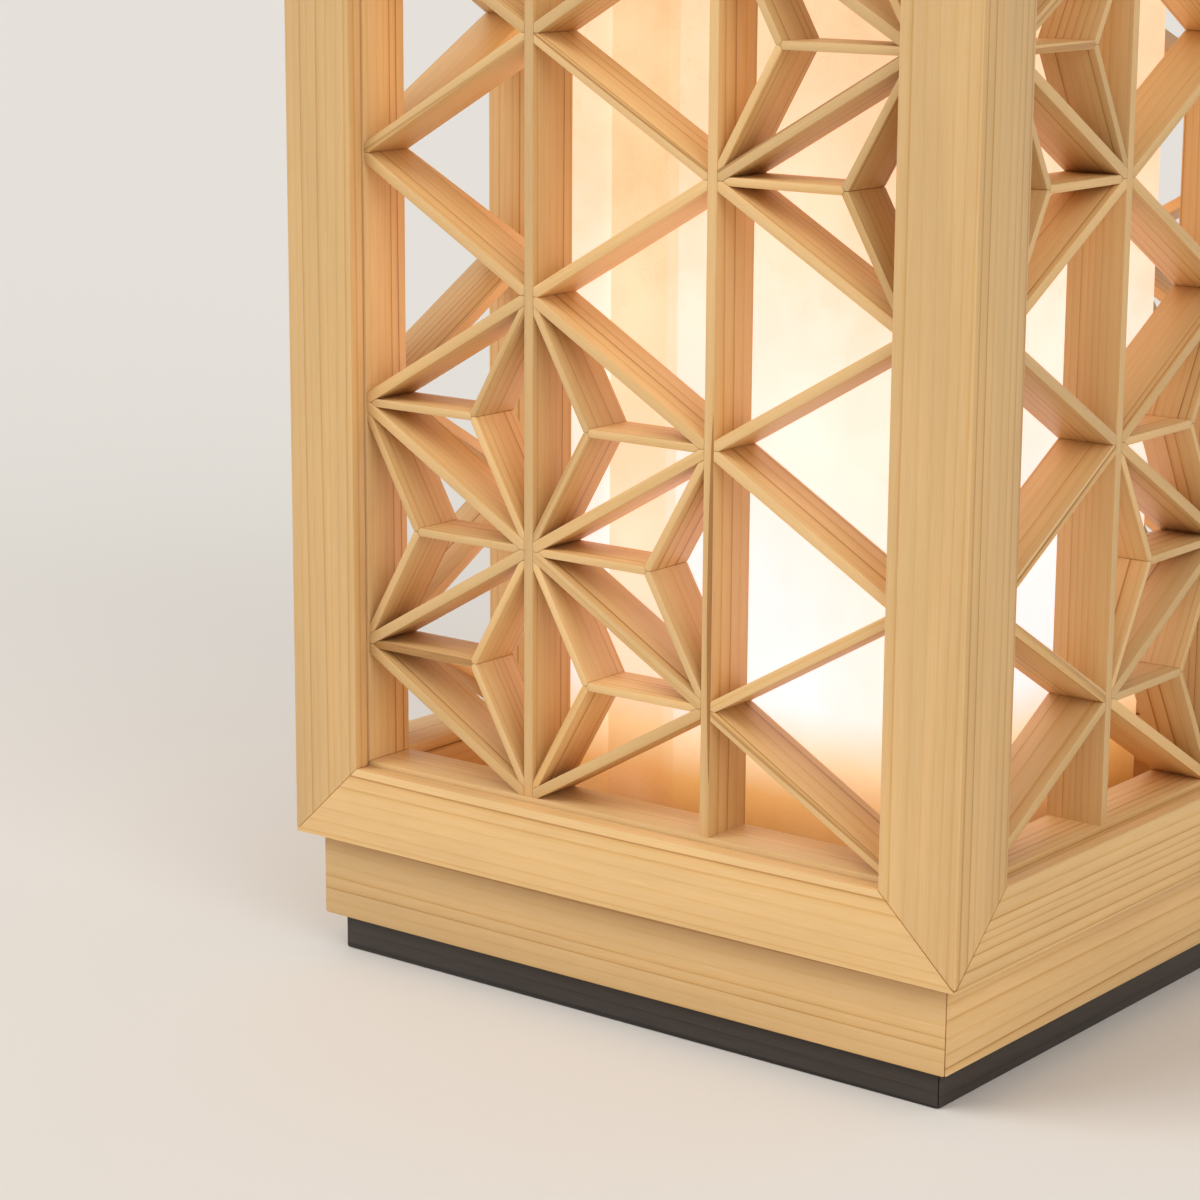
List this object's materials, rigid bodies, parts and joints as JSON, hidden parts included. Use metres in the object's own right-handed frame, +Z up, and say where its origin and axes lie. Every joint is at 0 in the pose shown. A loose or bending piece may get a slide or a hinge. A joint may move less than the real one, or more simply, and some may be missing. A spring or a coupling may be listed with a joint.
{
  "type": "kumiko table lamp",
  "caption": "Square table lamp: a mitred wooden lantern with asanoha lattice panels lifts off a low plinth that carries a folded washi shade and a screw-in bulb.",
  "frame": {"origin": "middle of the underside of the feet", "axes": "+Z up along the lamp's axis, -Y out of the front panel, +X out of the right panel"},
  "size_m": [0.15, 0.15, 0.3331],
  "materials": {
    "frame_wood": "planed, unfinished cypress",
    "lattice_wood": "planed, unfinished cypress",
    "board_wood": "sanded cypress",
    "stained_wood": "black stain, matt",
    "washi": "laminated long-fibre paper, lit from inside",
    "phenolic": "moulded",
    "brass": "drawn",
    "steel": "zinc plated",
    "bulb_glass": "frosted, lit",
    "rubber": "moulded"
  },
  "bodies": {
    "base": {"plinth_front": "frame_wood", "plinth_right": "frame_wood", "plinth_back": "frame_wood", "plinth_left": "frame_wood", "foot_front": "stained_wood", "foot_right": "stained_wood", "foot_back": "stained_wood", "foot_left": "stained_wood", "corner_block_front_right": "board_wood", "corner_block_back_right": "board_wood", "corner_block_back_left": "board_wood", "corner_block_front_left": "board_wood", "base_board": "board_wood", "shade_seat": "board_wood", "holder_bracket": "steel", "bracket_screw_left": "steel", "bracket_screw_right": "steel", "lamp_holder": "phenolic", "screw_shell": "brass", "centre_contact": "brass", "cord_grommet": "rubber"},
    "lantern": {"post_front_right": "frame_wood", "post_back_right": "frame_wood", "post_back_left": "frame_wood", "post_front_left": "frame_wood", "bottom_rail_front": "frame_wood", "bottom_rail_right": "frame_wood", "bottom_rail_back": "frame_wood", "bottom_rail_left": "frame_wood", "top_rail_front": "frame_wood", "top_rail_right": "frame_wood", "top_rail_back": "frame_wood", "top_rail_left": "frame_wood", "front_edge_strip_right": "lattice_wood", "front_edge_strip_left": "lattice_wood", "front_edge_strip_bottom": "lattice_wood", "front_edge_strip_top": "lattice_wood", "right_edge_strip_right": "lattice_wood", "right_edge_strip_left": "lattice_wood", "right_edge_strip_bottom": "lattice_wood", "right_edge_strip_top": "lattice_wood", "back_edge_strip_right": "lattice_wood", "back_edge_strip_left": "lattice_wood", "back_edge_strip_bottom": "lattice_wood", "back_edge_strip_top": "lattice_wood", "left_edge_strip_right": "lattice_wood", "left_edge_strip_left": "lattice_wood", "left_edge_strip_bottom": "lattice_wood", "left_edge_strip_top": "lattice_wood", "lattice_front": "lattice_wood", "lattice_right": "lattice_wood", "lattice_back": "lattice_wood", "lattice_left": "lattice_wood"},
    "shade": {"shade": "washi", "shade_ring": "board_wood"},
    "bulb": {"bulb_cap": "brass", "bulb_glass": "bulb_glass"}
  },
  "joints": [
    {"name": "lantern_lift", "type": "slide", "parent": "base", "child": "lantern", "axis": [0, 0, 1], "range_m": [0, 0.31]},
    {"name": "shade_lift", "type": "slide", "parent": "base", "child": "shade", "axis": [0, 0, 1], "range_m": [0, 0.32]},
    {"name": "bulb_turn", "type": "hinge", "parent": "base", "child": "bulb", "pos_m": [0, 0, 0.0188], "axis": [0, 0, 1], "range_deg": [0, 1080]}
  ]
}
